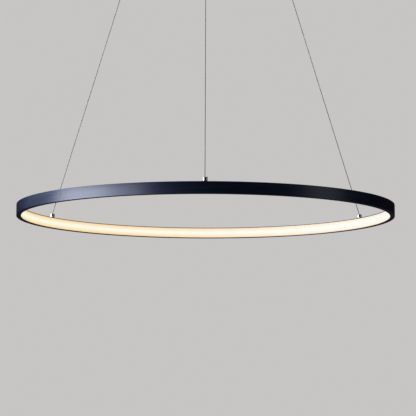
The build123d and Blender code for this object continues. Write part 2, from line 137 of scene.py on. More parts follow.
zinc = finish("zinc plate", {"Metallic": 1.0})
spangle = cells(zinc, (160.0, 160.0, 160.0))
colour_by(zinc, spangle, (0.50, 0.51, 0.53), (0.66, 0.67, 0.68), (0.0, 1.0))
rough_by(zinc, noise(zinc, (90.0, 90.0, 90.0), 3.0), 0.30, 0.48)
dress(zinc, "ceiling_plate", "driver_screws", "block_screws", "terminal_screws", "earth_screw")


# Canopy cover: a cup spun from aluminium sheet, brushed round its axis and lacquered dark navy
# like the hoop. It slips over the plate's rim and hides the driver.
def calc(tree, operation, first, second=0.0):
    """One sum on two numbers."""
    return put(tree, "ShaderNodeMath", {0: first, 1: second}, operation=operation).outputs[0]


def vector_calc(tree, operation, inputs):
    """One sum on vectors."""
    return put(tree, "ShaderNodeVectorMath", inputs, operation=operation).outputs[0]


def new_tree(name, kinds):
    """Empty node tree with these named inputs, and their sockets."""
    tree = bpy.data.node_groups.new(name, "GeometryNodeTree")
    tree.interface.new_socket("Geometry", in_out="OUTPUT", socket_type="NodeSocketGeometry")
    for socket, kind in kinds.items():
        tree.interface.new_socket(socket, in_out="INPUT", socket_type=f"NodeSocket{kind}")
    return tree, put(tree, "NodeGroupInput").outputs


round_inputs = {"Copies": "Int", "Circle": "Float", "First Angle": "Float", "Step Angle": "Float",
                "Level": "Float", "Tilt": "Float", "Sharp Angle": "Float", "Finish": "Material"}


def copies_round(tree, given, shape):
    """Copies of a shape round the lamp's axis, each facing outwards."""
    count = put(tree, "GeometryNodeInputIndex").outputs[0]
    angle = calc(tree, "ADD", given["First Angle"], calc(tree, "MULTIPLY", count, given["Step Angle"]))
    place = put(tree, "ShaderNodeCombineXYZ", {
        0: calc(tree, "MULTIPLY", calc(tree, "COSINE", angle), given["Circle"]),
        1: calc(tree, "MULTIPLY", calc(tree, "SINE", angle), given["Circle"]),
        2: given["Level"]}).outputs[0]
    lean = put(tree, "ShaderNodeCombineXYZ", {1: given["Tilt"], 2: angle}).outputs[0]
    lean = put(tree, "FunctionNodeEulerToRotation", {0: lean}).outputs[0]
    marks = put(tree, "GeometryNodePoints", {"Count": given["Copies"], "Position": place}).outputs[0]
    copies = put(tree, "GeometryNodeInstanceOnPoints", {
        "Points": marks, "Instance": shape, "Rotation": lean}).outputs[0]
    return put(tree, "GeometryNodeRealizeInstances", {0: copies}).outputs[0]


def painted(tree, given, shape):
    """Shape with the finish on it."""
    coated = put(tree, "GeometryNodeSetMaterial", {"Geometry": shape, "Material": given["Finish"]})
    return coated.outputs[0]


def creased(tree, given, shape):
    """Shape with sharp edges where its faces meet at more than the sharp angle."""
    bend = put(tree, "GeometryNodeInputMeshEdgeAngle").outputs["Unsigned Angle"]
    return put(tree, "GeometryNodeSetShadeSmooth", {
        "Geometry": shape, "Selection": calc(tree, "GREATER_THAN", bend, given["Sharp Angle"]),
        "Shade Smooth": False}, domain="EDGE").outputs[0]


def turning_tree():
    """Node tree that turns an outline about an upright axis and copies it round the lamp's axis."""
    tree, given = new_tree("turned copies", {
        "Outline": "Geometry", "Path Radius": "Float", "Start": "Float", "Sweep": "Float",
        "Segments": "Int", "Closed": "Bool", "Around": "Float", "Across": "Float",
        "Flutes": "Int", "Flute Depth": "Float", "Flute Low": "Float", "Flute High": "Float",
        "Socket Radius": "Float", "Socket Depth": "Float", "Socket Top": "Float", **round_inputs})
    seam_jump = 0.2
    weld_distance = 1e-6

    def along(curve, name):
        """Curve that carries how far along it each point is, from 0 to 1."""
        mark = put(tree, "GeometryNodeCaptureAttribute", {"Geometry": curve}, domain="POINT")
        mark.capture_items.new("FLOAT", name)
        tree.links.new(put(tree, "GeometryNodeSplineParameter").outputs["Factor"], mark.inputs[name])
        return mark.outputs

    def unwrapped(share, length):
        """Length along the surface, carried on past the place where a closed line meets itself."""
        middle = put(tree, "GeometryNodeFieldOnDomain", {0: share}, data_type="FLOAT", domain="FACE")
        over = calc(tree, "GREATER_THAN", calc(tree, "SUBTRACT", middle.outputs[0], share), seam_jump)
        return calc(tree, "MULTIPLY", calc(tree, "ADD", share, over), length)

    section = along(put(tree, "GeometryNodeMeshToCurve", {0: given["Outline"]}).outputs[0], "Across")
    arc = put(tree, "GeometryNodeCurveArc", {
        "Resolution": given["Segments"], "Radius": given["Path Radius"],
        "Start Angle": given["Start"], "Sweep Angle": given["Sweep"]})
    path = put(tree, "GeometryNodeSetSplineCyclic", {0: arc.outputs[0], "Cyclic": given["Closed"]})
    path = along(path.outputs[0], "Around")
    skin = put(tree, "GeometryNodeCurveToMesh", {
        "Curve": path[0], "Profile Curve": section[0], "Fill Caps": True}).outputs[0]
    skin = put(tree, "GeometryNodeFlipFaces", {0: skin}).outputs[0]
    flat = put(tree, "ShaderNodeCombineXYZ", {
        0: unwrapped(path["Around"], given["Around"]),
        1: unwrapped(section["Across"], given["Across"])})
    skin = put(tree, "GeometryNodeStoreNamedAttribute", {
        "Geometry": skin, "Name": "UVMap", "Value": flat.outputs[0]}, data_type="FLOAT2", domain="CORNER")
    skin = put(tree, "GeometryNodeMergeByDistance", {
        "Geometry": skin.outputs[0], "Distance": weld_distance}).outputs[0]
    skin = painted(tree, given, skin)

    spot = put(tree, "GeometryNodeInputPosition").outputs[0]
    parts = put(tree, "ShaderNodeSeparateXYZ", {0: spot}).outputs
    turn = calc(tree, "ARCTAN2", parts["Y"], parts["X"])
    wave = calc(tree, "COSINE", calc(tree, "MULTIPLY", turn, given["Flutes"]))
    past_low = calc(tree, "GREATER_THAN", parts["Z"], given["Flute Low"])
    under_high = calc(tree, "LESS_THAN", parts["Z"], given["Flute High"])
    depth = calc(tree, "MULTIPLY", calc(tree, "MULTIPLY", past_low, under_high), given["Flute Depth"])
    dip = calc(tree, "MULTIPLY", calc(tree, "SUBTRACT", wave, 1.0), 0.5)
    outward = vector_calc(tree, "MULTIPLY", {0: spot, 1: (1.0, 1.0, 0.0)})
    outward = vector_calc(tree, "NORMALIZE", {0: outward})
    shift = vector_calc(tree, "SCALE", {0: outward, "Scale": calc(tree, "MULTIPLY", depth, dip)})
    skin = put(tree, "GeometryNodeSetPosition", {"Geometry": skin, "Offset": shift}).outputs[0]

    key = put(tree, "GeometryNodeMeshCylinder", {
        "Vertices": 6, "Radius": given["Socket Radius"],
        "Depth": calc(tree, "MULTIPLY", given["Socket Depth"], 2.0)}).outputs["Mesh"]
    lift = put(tree, "ShaderNodeCombineXYZ", {2: given["Socket Top"]}).outputs[0]
    key = put(tree, "GeometryNodeTransform", {"Geometry": key, "Translation": lift}).outputs[0]
    cut = put(tree, "GeometryNodeMeshBoolean", {
        0: skin, 1: painted(tree, given, key)}, operation="DIFFERENCE", solver="EXACT")
    keyed = calc(tree, "GREATER_THAN", given["Socket Depth"], 0.0)
    skin = put(tree, "GeometryNodeSwitch", {
        "Switch": keyed, "False": skin, "True": cut.outputs[0]}, input_type="GEOMETRY").outputs[0]
    put(tree, "NodeGroupOutput", {0: creased(tree, given, copies_round(tree, given, skin))})
    return tree


def drilling_tree():
    """Node tree that drills round holes through a piece, spaced round the lamp's axis."""
    tree, given = new_tree("drilled holes", {
        "Piece": "Geometry", "Hole Radius": "Float", "Hole Length": "Float", **round_inputs})
    bit = put(tree, "GeometryNodeMeshCylinder", {
        "Vertices": 64, "Radius": given["Hole Radius"], "Depth": given["Hole Length"]}).outputs["Mesh"]
    bits = copies_round(tree, given, painted(tree, given, bit))
    cut = put(tree, "GeometryNodeMeshBoolean", {
        0: given["Piece"], 1: bits}, operation="DIFFERENCE", solver="EXACT").outputs[0]
    put(tree, "NodeGroupOutput", {0: creased(tree, given, cut)})
    return tree


def evaluated(name, mesh, tree, finish_used, sizes):
    """Plain mesh object that the tree makes of a mesh, with the tree's inputs set from sizes by name."""
    base = bpy.data.objects.new(name, mesh)
    bpy.context.collection.objects.link(base)
    modifier = base.modifiers.new(tree.name, "NODES")
    modifier.node_group = tree
    inputs = {"Copies": 1, "Sharp Angle": math.radians(32), "Finish": finish_used}
    for size, value in sizes.items():
        inputs[size.replace("_", " ").title()] = value
    for item in tree.interface.items_tree:
        if item.in_out == "INPUT" and item.name in inputs:
            modifier[item.identifier] = inputs[item.name]
    made = bpy.data.meshes.new_from_object(base.evaluated_get(bpy.context.evaluated_depsgraph_get()))
    base.modifiers.remove(modifier)
    bpy.data.objects.remove(base)
    bpy.data.meshes.remove(mesh)
    made.name = name
    piece = bpy.data.objects.new(name, made)
    bpy.context.collection.objects.link(piece)
    return piece


turning = turning_tree()
drilling = drilling_tree()


def rounded(corners, steps=5):
    """Outline with an arc of the radius in the third number at each corner that has one."""
    outline = []
    for i, (radius, level, *arc) in enumerate(corners):
        corner = Vector((radius, level))
        if not arc:
            outline.append(corner)
            continue
        into = (corner - Vector(corners[i - 1][:2])).normalized()
        away = (Vector(corners[(i + 1) % len(corners)][:2]) - corner).normalized()
        bend = into.angle(away)
        setback = arc[0] * math.tan(bend / 2)
        first = corner - into * setback
        centre = corner + (away - into).normalized() * (arc[0] / math.cos(bend / 2))
        spoke = first - centre
        side = 1 if into.x * away.y - into.y * away.x > 0 else -1
        for step in range(steps + 1):
            swing = side * bend * step / steps
            outline.append(centre + Matrix.Rotation(swing, 2) @ spoke)
    return outline


def turned(name, outline, material, segments=96, ring=False, arc=None, **sizes):
    """Piece turned from an outline of (radius, height), run anticlockwise; a ring's outline is closed."""
    path_radius = max(point.x for point in outline)
    edges = [(i, i + 1) for i in range(len(outline) - 1)]
    lengths = [(outline[b] - outline[a]).length for a, b in edges]
    if ring:
        edges.append((len(outline) - 1, 0))
        lengths.append((outline[0] - outline[-1]).length)
    mesh = bpy.data.meshes.new(f"{name} outline")
    mesh.from_pydata([(p.x - path_radius, -p.y, 0.0) for p in outline], edges, [])
    start, sweep = arc or (0.0, math.tau * (1 - 1 / segments))
    return evaluated(name, mesh, turning, material, {
        "path_radius": path_radius, "start": start, "sweep": sweep, "segments": segments,
        "closed": arc is None, "around": math.tau * path_radius, "across": sum(lengths), **sizes})


def drilled(piece, **sizes):
    """The piece again, with round holes through it."""
    name = piece.name
    mesh = piece.data
    bpy.data.objects.remove(piece)
    mesh.name = f"{name} undrilled"
    return evaluated(name, mesh, drilling, mesh.materials[0], sizes)


navy = finish("navy lacquer on brushed aluminium", {
    "Metallic": 1.0, "Specular Tint": (0.25, 0.5, 1.0, 1.0),
    "Coat Weight": 1.0, "Coat Roughness": 0.3, "Coat IOR": 1.7})
brushing = noise(navy, (6.0, 480.0, 1.0), 6.0, "UV")
colour_by(navy, brushing, (0.011, 0.022, 0.072), (0.030, 0.050, 0.120), (0.35, 0.65))
rough_by(navy, brushing, 0.42, 0.56)
relief_by(navy, brushing, 0.00002, 0.5)

cover_radius = 0.130
cover_top = -0.001
cover_bottom = -0.046
cover_wall = 0.0012
cover_inside = cover_bottom + cover_wall
cover_corner = 0.008
rim_edge = 0.0004
grip_hole = 0.0061
grip_hole_length = 0.006
front_angle = math.radians(-90)
third = math.tau / 3
grip_circle = 0.105
at_grips = {"copies": 3, "circle": grip_circle, "first_angle": front_angle, "step_angle": third}
cover = turned("canopy_cover_shell", rounded([
    (0.0, cover_bottom),
    (cover_radius, cover_bottom, cover_corner),
    (cover_radius, cover_top, rim_edge),
    (cover_radius - cover_wall, cover_top, rim_edge),
    (cover_radius - cover_wall, cover_inside, cover_corner - cover_wall),
    (0.0, cover_inside),
], 8), navy, 256)
cover = drilled(cover, hole_radius=grip_hole, hole_length=grip_hole_length, level=cover_bottom, **at_grips)
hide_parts("canopy_cover")
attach(cover, "canopy")

# Cover screws: three small chromed steel screws with domed heads and hexagon sockets. They go in
# from the side, through the cover into the plate's rim.
chrome = finish("bright chrome", {"Metallic": 1.0})
polish = noise(chrome, (700.0, 700.0, 120.0), 4.0)
colour_by(chrome, polish, (0.70, 0.70, 0.71), (0.82, 0.82, 0.83))
rough_by(chrome, polish, 0.05, 0.13)

screw_level = -0.008
shank_radius = 0.002
shank_length = 0.006
head_radius = 0.004
head_height = 0.0026
head_side = 0.0014
crown_radius = 0.0028
key_radius = 0.0015
key_depth = 0.0014
cover_screws = turned("cover_screw_set", rounded([
    (0.0, -shank_length),
    (shank_radius, -shank_length, 0.0004),
    (shank_radius, 0.0),
    (head_radius, 0.0, 0.0002),
    (head_radius, head_side, 0.0006),
    (crown_radius, head_height, 0.0008),
    (0.0, head_height),
]), chrome, 48, copies=3, circle=cover_radius, first_angle=-front_angle, step_angle=third,
    level=screw_level, tilt=math.radians(90),
    socket_radius=key_radius, socket_depth=key_depth, socket_top=head_height)
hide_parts("cover_screws")
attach(cover_screws, "canopy")

# Driver: a small moulded power supply, screwed to the plate by its two ears. Its white case holds
# a green circuit board, and closes against the base.
driver_plastic = finish("driver case plastic", {"Specular IOR Level": 0.4})
spark = noise(driver_plastic, (1500.0, 1500.0, 1500.0), 3.0)
cloudy = noise(driver_plastic, (30.0, 30.0, 30.0))
colour_by(driver_plastic, cloudy, (0.70, 0.70, 0.67), (0.76, 0.76, 0.73))
rough_by(driver_plastic, spark, 0.45, 0.60)
relief_by(driver_plastic, spark, 0.00004)
dress(driver_plastic, "driver_base", "driver_case")

board_green = finish("circuit board", {"Specular IOR Level": 0.5})
tracks = cells(board_green, (110.0, 260.0, 40.0))
colour_by(board_green, tracks, (0.012, 0.085, 0.030), (0.030, 0.150, 0.060), (0.2, 0.8))
rough_by(board_green, tracks, 0.30, 0.45)
dress(board_green, "driver_board")

# Terminal block and earth tag: a nylon block with three poles where the mains cable ends, and a
# tinned brass tag under the earth screw. Both sit on the plate.
nylon = finish("natural nylon", {"Subsurface Weight": 0.15, "Subsurface Scale": 0.002})
mould = noise(nylon, (400.0, 400.0, 400.0), 3.0)
colour_by(nylon, mould, (0.66, 0.64, 0.58), (0.74, 0.72, 0.66))
rough_by(nylon, mould, 0.38, 0.52)
dress(nylon, "terminal_block", "grip_washers")

brass = finish("tinned brass", {"Metallic": 1.0})
tin = noise(brass, (260.0, 260.0, 260.0), 4.0)
colour_by(brass, tin, (0.60, 0.55, 0.42), (0.70, 0.67, 0.58))
rough_by(brass, tin, 0.22, 0.40)
dress(brass, "earth_tag")

# Wire grips: turned and chromed brass bodies with a fluted collar, each screwed through an
# insulating nylon bush and held by a nut inside the canopy. A sprung plunger sticks out below:
# pressed up, it frees the wire.
stations = {"front": front_angle, "right": front_angle + third, "left": front_angle + 2 * third}
collar_top = -0.0475
collar_bottom = -0.0565
wire_top = -0.0615
wire_bore = 0.00115

bush_bore = 0.00505
bush_neck = 0.00605
bush_flange = 0.009
bushes = turned("grip_bush_set", rounded([
    (bush_bore, collar_top),
    (bush_flange, collar_top, 0.0005),
    (bush_flange, cover_bottom, 0.0003),
    (bush_neck, cover_bottom),
    (bush_neck, cover_inside),
    (bush_bore, cover_inside),
]), nylon, 64, True, **at_grips)
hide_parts("grip_bushes")
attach(bushes, "canopy")

collar_radius = 0.008
thread_radius = 0.005
thread_top = -0.0315
spring_room = 0.0036
cone_top = -0.0445
cone_bottom = -0.0535
cone_small = 0.00245
plunger_bore = 0.00226
flute_low = -0.0547
flute_high = -0.0489
flute_depth = 0.0003
run_out = 0.0002
bodies = turned("grip_body_set", rounded([
    (plunger_bore, collar_bottom, 0.0003),
    (collar_radius, collar_bottom, 0.0009),
    (collar_radius, flute_low - run_out),
    (collar_radius, flute_low),
    (collar_radius, flute_high),
    (collar_radius, flute_high + run_out),
    (collar_radius, collar_top, 0.0004),
    (thread_radius, collar_top),
    (thread_radius, thread_top, 0.0004),
    (spring_room, thread_top),
    (spring_room, cone_top),
    (cone_small, cone_bottom),
    (plunger_bore, cone_bottom),
]), chrome, 288, True, **at_grips, flutes=48, flute_depth=flute_depth,
    flute_low=flute_low - run_out / 2, flute_high=flute_high + run_out / 2)
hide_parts("grip_body_front", "grip_body_right", "grip_body_left")
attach(bodies, "canopy")

button_radius = 0.0022
jaw_bottom = -0.0534
jaw_small = 0.00235
jaw_top = -0.0480
jaw_large = 0.00305
for name, angle in stations.items():
    plunger = turned(f"grip_plunger_{name}_turned", rounded([
        (wire_bore, wire_top, 0.0002),
        (button_radius, wire_top, 0.0006),
        (button_radius, jaw_bottom),
        (jaw_small, jaw_bottom),
        (jaw_large, jaw_top),
        (wire_bore, jaw_top),
    ]), chrome, 48, True, circle=grip_circle, first_angle=angle)
    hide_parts(f"grip_plunger_{name}")
    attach(plunger, f"plunger_{name}")
dress(zinc, "grip_nuts")
dress(brass, "grip_caps", "tail_sleeves")


# Suspension wires: three bare steel wires, each seven strands laid together, straight and taut
# from the plunger's tip down to the barrel on the hoop. Two of them also carry the current.
def strand_tree():
    """Node tree that winds strands along a route, round a core or round nothing."""
    tree, given = new_tree("wound strands", {
        "Route": "Geometry", "Strands": "Int", "Strand Radius": "Float", "Lay Radius": "Float",
        "Lay Length": "Float", "Core": "Bool", "Points": "Int", "Sides": "Int", "Finish": "Material"})
    line = put(tree, "GeometryNodeMeshToCurve", {0: given["Route"]}).outputs[0]
    line = put(tree, "GeometryNodeResampleCurve", {"Curve": line, "Count": given["Points"]}).outputs[0]
    many = put(tree, "GeometryNodeDuplicateElements", {
        "Geometry": line, "Amount": given["Strands"]}, domain="SPLINE").outputs
    run = put(tree, "GeometryNodeSplineParameter").outputs["Length"]
    turns = calc(tree, "ADD", calc(tree, "DIVIDE", run, given["Lay Length"]),
                 calc(tree, "DIVIDE", many["Duplicate Index"], given["Strands"]))
    angle = calc(tree, "MULTIPLY", turns, math.tau)
    normal = put(tree, "GeometryNodeInputNormal").outputs[0]
    tangent = put(tree, "GeometryNodeInputTangent").outputs[0]
    side = vector_calc(tree, "CROSS_PRODUCT", {0: tangent, 1: normal})
    across = [
        vector_calc(tree, "SCALE", {
            0: axis, "Scale": calc(tree, "MULTIPLY", calc(tree, wave, angle), given["Lay Radius"])})
        for axis, wave in ((normal, "COSINE"), (side, "SINE"))]
    shift = vector_calc(tree, "ADD", {0: across[0], 1: across[1]})
    laid = put(tree, "GeometryNodeSetPosition", {"Geometry": many["Geometry"], "Offset": shift}).outputs[0]
    core = put(tree, "GeometryNodeSwitch", {"Switch": given["Core"], "True": line}, input_type="GEOMETRY")
    both = put(tree, "GeometryNodeJoinGeometry")
    for curve in (core.outputs[0], laid):
        tree.links.new(curve, both.inputs[0])
    rim = put(tree, "GeometryNodeCurvePrimitiveCircle", {
        "Resolution": given["Sides"], "Radius": given["Strand Radius"]}).outputs[0]
    tube = put(tree, "GeometryNodeCurveToMesh", {
        "Curve": both.outputs[0], "Profile Curve": rim, "Fill Caps": True}).outputs[0]
    tube = put(tree, "GeometryNodeRealizeInstances", {0: tube}).outputs[0]
    put(tree, "NodeGroupOutput", {0: painted(tree, given, tube)})
    return tree


strands = strand_tree()


def wound(name, route, material, **sizes):
    """Strands wound along a route of points."""
    mesh = bpy.data.meshes.new(f"{name} route")
    mesh.from_pydata(route, [(i, i + 1) for i in range(len(route) - 1)], [])
    piece = evaluated(name, mesh, strands, material, sizes)
    for face in piece.data.polygons:
        face.use_smooth = True
    return piece


steel = finish("bare steel wire", {"Metallic": 1.0})
drawn = noise(steel, (900.0, 900.0, 60.0), 3.0)
colour_by(steel, drawn, (0.31, 0.305, 0.30), (0.42, 0.41, 0.40))
rough_by(steel, drawn, 0.24, 0.38)
dress(steel, "wire_tail_front", "wire_tail_right", "wire_tail_left", "wire_stops")

wire_circle = 0.395
wire_bottom = -0.8385
wire_diameter = 0.0015
strand_lay = 0.014
for name, angle in stations.items():
    outward = Vector((math.cos(angle), math.sin(angle), 0.0))
    top = outward * grip_circle + Vector((0.0, 0.0, wire_top))
    bottom = outward * wire_circle + Vector((0.0, 0.0, wire_bottom))
    route = bpy.data.curves.new(f"wire_route_{name}", "CURVE")
    route.dimensions = "3D"
    route.resolution_u = 24
    spline = route.splines.new("NURBS")
    spline.points.add(2)
    for point, spot in zip(spline.points, (top, (top + bottom) / 2, bottom)):
        point.co = (*spot, 1.0)
    spline.order_u = 3
    spline.use_endpoint_u = True
    guide = bpy.data.objects.new(f"wire_route_{name}", route)
    bpy.context.collection.objects.link(guide)
    line = bpy.data.meshes.new_from_object(guide.evaluated_get(bpy.context.evaluated_depsgraph_get()))
    bpy.data.objects.remove(guide)
    followed = [tuple(vertex.co) for vertex in line.vertices]
    wire = wound(f"wire_{name}_strands", followed, steel, strands=6, strand_radius=wire_diameter / 6,
                 lay_radius=wire_diameter / 3, lay_length=strand_lay, core=True, points=720, sides=6)
    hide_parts(f"suspension_wire_{name}")
    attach(wire, "canopy")
    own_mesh(wire)

# Grip springs: small coils wound from steel wire, one inside each grip. Each sits between the plunger
# and the cap; the real spring gives way when the plunger is pressed, but these coils keep their rest
# length.
spring_top = -0.0355
spring_bottom = jaw_top
spring_wire = 0.00025
coil_radius = 0.00185
coil_pitch = 0.0016
for name, angle in stations.items():
    axis = Vector((math.cos(angle), math.sin(angle), 0.0)) * grip_circle
    ends = [tuple(axis + Vector((0.0, 0.0, level)))
            for level in (spring_bottom + spring_wire, spring_top - spring_wire)]
    spring = wound(f"grip_spring_{name}_coil", ends, steel, strands=1, strand_radius=spring_wire,
                   lay_radius=coil_radius, lay_length=coil_pitch, points=200, sides=8)
    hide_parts(f"grip_spring_{name}")
    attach(spring, "canopy")
    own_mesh(spring)

# Wire barrels: turned brass, chromed, one on the hoop's top edge at each wire. A stud from below
# holds each on a black nylon bush, and the crimped end of the wire is caught under its roof.
barrel_top = -0.838
barrel_bottom = -0.8458
barrel_radius = 0.005
barrel_bore = 0.00155
mouth_radius = 0.002
mouth_depth = 0.001
roof_thickness = 0.002
at_wires = {"copies": 3, "circle": wire_circle, "first_angle": front_angle, "step_angle": third}
barrels = turned("wire_barrel_set", rounded([
    (barrel_bore, barrel_bottom),
    (barrel_radius, barrel_bottom, 0.0003),
    (barrel_radius, barrel_top, 0.0008),
    (mouth_radius, barrel_top, 0.0003),
    (wire_bore, barrel_top - mouth_depth),
    (wire_bore, barrel_top - roof_thickness),
    (barrel_bore, barrel_top - roof_thickness),
]), chrome, 96, True, **at_wires)
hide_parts("wire_barrel_front", "wire_barrel_right", "wire_barrel_left")
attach(barrels, "ring")
dress(zinc, "barrel_studs", "stud_nuts")
dress(brass, "feed_tags")

black_nylon = finish("black nylon", {"Specular IOR Level": 0.4})
flow = noise(black_nylon, (500.0, 500.0, 500.0), 3.0)
colour_by(black_nylon, flow, (0.010, 0.010, 0.011), (0.022, 0.022, 0.024))
rough_by(black_nylon, flow, 0.40, 0.55)
dress(black_nylon, "stud_bushes", "stud_washers")

# Hoop: a channel rolled from an aluminium extrusion into a ring, open towards the middle. Its
# outside is brushed along its length and lacquered dark navy. The ends meet at the back.
hoop_radius = 0.400
hoop_inner = 0.390
hoop_level = -0.8586
half_height = 0.012
web_inside = 0.3986
flange_inside = 0.0108
rib_inner = 0.3924
rib_outer = 0.3932
rib_tip = 0.0102
seam_angle = math.radians(90)
seam_width = 0.0004
screw_circle = 0.3966
screw_spacing = math.radians(2.4)
at_seam = {"copies": 2, "circle": screw_circle, "first_angle": seam_angle - screw_spacing,
           "step_angle": 2 * screw_spacing}
head_bore = 0.00225
stud_bore = 0.0024
flange_hole_length = 0.003
stud_room = 0.00305
stud_room_depth = 0.002
overcut = 0.00001


def both_sides(upper):
    """Ring section at the hoop's level: an upper half, run towards the middle, and its mirror image."""
    corners = [(radius, hoop_level + height, *arc) for radius, height, *arc in upper]
    mirror = [(radius, hoop_level - height, *arc) for radius, height, *arc in reversed(upper)]
    return rounded(corners + mirror)


def at_studs(piece, radius, length, height):
    """The piece again, drilled at the stud under each wire, at a height above the hoop's level."""
    return drilled(piece, hole_radius=radius, hole_length=length, level=hoop_level + height, **at_wires)


hoop = turned("hoop_channel", both_sides([
    (hoop_radius, half_height, 0.0005),
    (hoop_inner, half_height, 0.0003),
    (hoop_inner, flange_inside, 0.0003),
    (rib_inner, flange_inside),
    (rib_inner, rib_tip),
    (rib_outer, rib_tip),
    (rib_outer, flange_inside),
    (web_inside, flange_inside),
]), navy, 720, True, (seam_angle, math.tau - seam_width / hoop_radius))
for side in (1, -1):
    hoop = drilled(hoop, hole_radius=head_bore, hole_length=flange_hole_length,
                   level=hoop_level + side * half_height, **at_seam)
hoop = at_studs(hoop, stud_bore, flange_hole_length, half_height)
hoop = at_studs(hoop, stud_room, stud_room_depth, flange_inside - stud_room_depth / 2 + overcut)
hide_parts("ring_hoop")
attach(hoop, "ring")

# Splice: two curved aluminium bars inside the hoop's corners bridge its seam. Two countersunk
# screws with hexagon sockets, top and bottom, hold each end.
aluminium = finish("bare aluminium", {"Metallic": 1.0})
mill = noise(aluminium, (60.0, 900.0, 900.0), 3.0)
colour_by(aluminium, mill, (0.60, 0.61, 0.62), (0.74, 0.74, 0.75))
rough_by(aluminium, mill, 0.30, 0.46)
dress(aluminium, "splice_bars")

splice_length = 0.0034
splice_shank = 0.00125
splice_head = 0.0022
countersink = 0.0012
splice_key_radius = 0.0009
splice_key_depth = 0.0006
for side, tilt in (("top", 0.0), ("bottom", math.pi)):
    splice = turned(f"splice_screws_{side}", rounded([
        (0.0, -splice_length),
        (splice_shank, -splice_length, 0.0003),
        (splice_shank, -countersink),
        (splice_head, 0.0, 0.0001),
        (0.0, 0.0),
    ]), zinc, 48, **at_seam, level=hoop_level + half_height * math.cos(tilt), tilt=tilt,
        socket_radius=splice_key_radius, socket_depth=splice_key_depth, socket_top=0.0)
    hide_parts("splice_screws")
    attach(splice, "ring")

# Light strip: a flexible white circuit stuck to the inside of the hoop's web with grey tape, with
# yellow light-emitting chips and small black resistors facing the middle.
tape_grey = finish("bonding tape", {"Specular IOR Level": 0.3})
fibre = noise(tape_grey, (500.0, 500.0, 500.0), 4.0)
colour_by(tape_grey, fibre, (0.30, 0.30, 0.30), (0.40, 0.40, 0.39))
rough_by(tape_grey, fibre, 0.60, 0.80)
dress(tape_grey, "strip_tape")

strip_white = finish("printed strip", {"Specular IOR Level": 0.4})
mask = noise(strip_white, (120.0, 120.0, 120.0), 3.0)
colour_by(strip_white, mask, (0.74, 0.74, 0.72), (0.82, 0.82, 0.80))
rough_by(strip_white, mask, 0.40, 0.55)
dress(strip_white, "led_strip")

phosphor = finish("chip phosphor", {"Emission Color": (1.0, 0.78, 0.42, 1.0), "Emission Strength": 1.2})
grit = noise(phosphor, (2500.0, 2500.0, 2500.0), 3.0)
colour_by(phosphor, grit, (0.72, 0.50, 0.10), (0.82, 0.62, 0.18))
rough_by(phosphor, grit, 0.40, 0.60)
dress(phosphor, "led_chips")

resistor_black = finish("resistor body", {"Specular IOR Level": 0.5})
glaze = noise(resistor_black, (1800.0, 1800.0, 1800.0), 3.0)
colour_by(resistor_black, glaze, (0.012, 0.012, 0.013), (0.030, 0.030, 0.032))
rough_by(resistor_black, glaze, 0.30, 0.50)
dress(resistor_black, "strip_resistors")

# Diffuser: an opal acrylic strip, extruded and bent to the hoop. Two barbed legs clip it behind the ribs.
# Its whole face glows warm white, a glow painted into its colour for the light strip shining through it.
face_radius = 0.3904
back_radius = 0.3919
edge = 0.01065
leg_top = 0.01005
leg_bottom = 0.00915
barb_start = 0.39335
barb_end = 0.39425
leg_cut_length = 0.004
diffuser_seam_angle = math.radians(-60)
diffuser_seam = 0.0005

opal = finish("lit opal acrylic", {
    "Emission Strength": 1.0, "Specular IOR Level": 0.1,
    "Subsurface Weight": 0.2, "Subsurface Scale": 0.003})
haze = noise(opal, (40.0, 40.0, 40.0))
colour_by(opal, haze, (0.31, 0.30, 0.28), (0.34, 0.33, 0.31))
rough_by(opal, haze, 0.35, 0.45)
tree = opal.node_tree
# Painted light: the glow is painted into the emission colour. It turns darker orange towards the top and
# bottom edges. Across the hoop it runs from a brighter, yellower left half to a dimmer, whiter right half,
# a difference of view and light that the acrylic itself doesn't have.
place = put(tree, "ShaderNodeTexCoord").outputs["Object"]
spot = put(tree, "ShaderNodeSeparateXYZ", {0: place}).outputs
height = calc(tree, "ABSOLUTE", calc(tree, "SUBTRACT", spot["Z"], hoop_level))
share = calc(tree, "DIVIDE", height, edge)
sideways = put(tree, "ShaderNodeMapRange", {
    "Value": spot["X"], "From Min": -hoop_radius, "From Max": hoop_radius}).outputs[0]
left_glow = ramp(tree, share, (0.15, 0.95), ((0.84, 0.80, 0.60), (0.77, 0.49, 0.17)))
right_glow = ramp(tree, share, (0.15, 0.95), ((0.65, 0.66, 0.62), (0.68, 0.51, 0.35)))
lit = put(tree, "ShaderNodeMix", {"Factor": sideways, "A": left_glow, "B": right_glow}, data_type="RGBA")
feed(opal, "Emission Color", lit.outputs["Result"])

diffuser = turned("diffuser_strip", both_sides([
    (back_radius, leg_bottom),
    (barb_end, leg_bottom),
    (barb_end, edge),
    (barb_start, edge),
    (barb_start, leg_top),
    (back_radius, leg_top),
    (back_radius, edge),
    (face_radius, edge, 0.0003),
]), opal, 720, True, (diffuser_seam_angle, math.tau - diffuser_seam / hoop_inner))
diffuser = at_studs(diffuser, stud_room, leg_cut_length, leg_top)
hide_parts("diffuser")
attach(diffuser, "ring")

# Stage: a pale painted floor in a pale room. Dark walls all round and a grey cloth on the floor are
# there for the metal to mirror, and the camera doesn't see them. Soft lights stand at the left, a
# weak one at the right, and one hangs above.
room = bpy.data.worlds.new("pale room")
bpy.context.scene.world = room
room.use_nodes = True
backdrop = room.node_tree.nodes["Background"]
backdrop.inputs["Color"].default_value = (0.57, 0.56, 0.555, 1.0)
backdrop.inputs["Strength"].default_value = 1.0


def sheet(name, corners, faces, material):
    """Flat-sided piece of the stage."""
    mesh = bpy.data.meshes.new(name)
    mesh.from_pydata(corners, [], faces)
    mesh.materials.append(material)
    made = bpy.data.objects.new(name, mesh)
    bpy.context.collection.objects.link(made)
    return made


